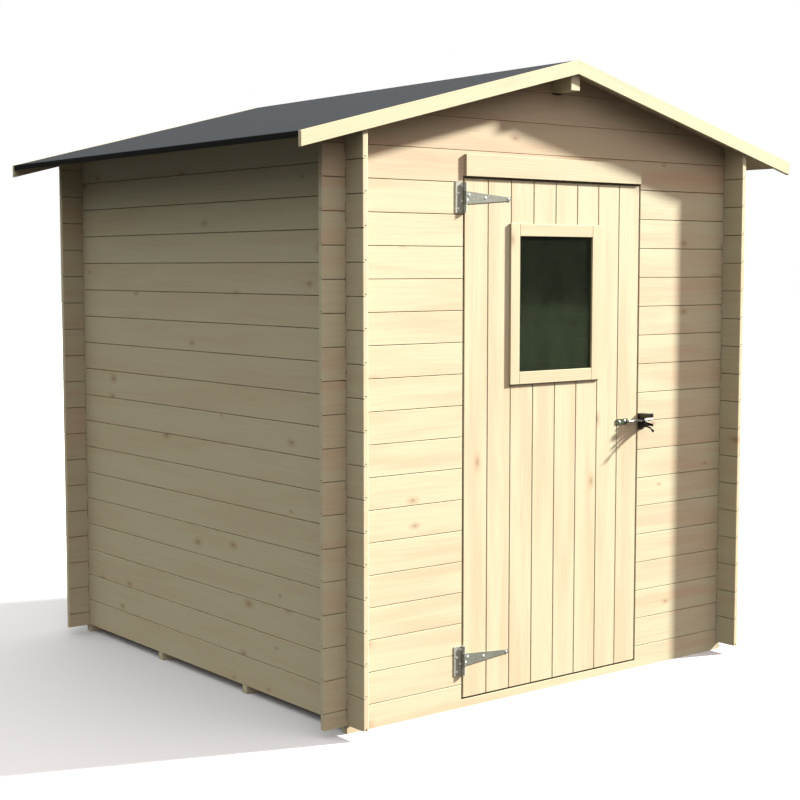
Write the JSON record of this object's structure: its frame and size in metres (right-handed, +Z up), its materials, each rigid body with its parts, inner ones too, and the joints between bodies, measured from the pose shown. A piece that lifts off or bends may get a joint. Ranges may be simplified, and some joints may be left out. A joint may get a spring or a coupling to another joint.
{
  "type": "wooden garden shed",
  "caption": "Garden shed of flat boards crossing at the corners, with a low felted gable roof and a boarded door with a window, hung to open outwards.",
  "frame": {"origin": "on the ground under the middle of the plan, level with the underside of the joists", "axes": "+Z up, front wall with the door facing -Y, +X to the right seen from the front"},
  "size_m": [2.274, 2.01, 2.1801],
  "materials": {
    "joist_wood": "rough sawn",
    "floor_boards": "planed",
    "wall_boards": "planed, unpainted spruce",
    "trim_wood": "planed, unpainted spruce",
    "frame_wood": "planed",
    "roof_boards": "planed",
    "roof_felt": "mineral surfaced felt",
    "door_boards": "planed, unpainted spruce",
    "galvanised_steel": "galvanised",
    "latch_steel": "dark plated",
    "window_glass": "clear"
  },
  "bodies": {
    "shed": {"joist_front": "joist_wood", "joist_middle_front": "joist_wood", "joist_middle_back": "joist_wood", "joist_back": "joist_wood", "floor": "floor_boards", "left_wall": "wall_boards", "right_wall": "wall_boards", "back_wall": "wall_boards", "front_wall_left": "wall_boards", "front_wall_right": "wall_boards", "front_gable": "wall_boards", "door_header": "trim_wood", "bargeboard_front_left": "trim_wood", "bargeboard_front_right": "trim_wood", "bargeboard_back_left": "trim_wood", "bargeboard_back_right": "trim_wood", "door_post_left": "frame_wood", "door_post_right": "frame_wood", "door_lintel": "frame_wood", "ridge_beam": "frame_wood", "roof_boards_left": "roof_boards", "roof_boards_right": "roof_boards", "roof_felt_left": "roof_felt", "roof_felt_right": "roof_felt", "hinge_plate_top": "galvanised_steel", "hinge_plate_bottom": "galvanised_steel", "latch_keeper": "latch_steel"},
    "door": {"door_leaf": "door_boards", "door_ledge_top": "frame_wood", "door_ledge_middle": "frame_wood", "door_ledge_bottom": "frame_wood", "door_brace": "frame_wood", "window_stile_left": "trim_wood", "window_stile_right": "trim_wood", "window_rail_top": "trim_wood", "window_rail_bottom": "trim_wood", "window_glass": "window_glass", "window_beading": "frame_wood", "hinge_strap_top": "galvanised_steel", "hinge_strap_bottom": "galvanised_steel", "latch_striker": "latch_steel"},
    "lever": {"latch_lever": "latch_steel"}
  },
  "joints": [
    {"name": "door_swing", "type": "hinge", "parent": "shed", "child": "door", "pos_m": [-0.4185, -0.9065, 0.9], "axis": [0, 0, -1], "range_deg": [0, 160]},
    {"name": "latch_lift", "type": "hinge", "parent": "shed", "child": "lever", "pos_m": [0.438, -0.912, 0.905], "axis": [-1, 0, 0], "range_deg": [0, 22]}
  ]
}
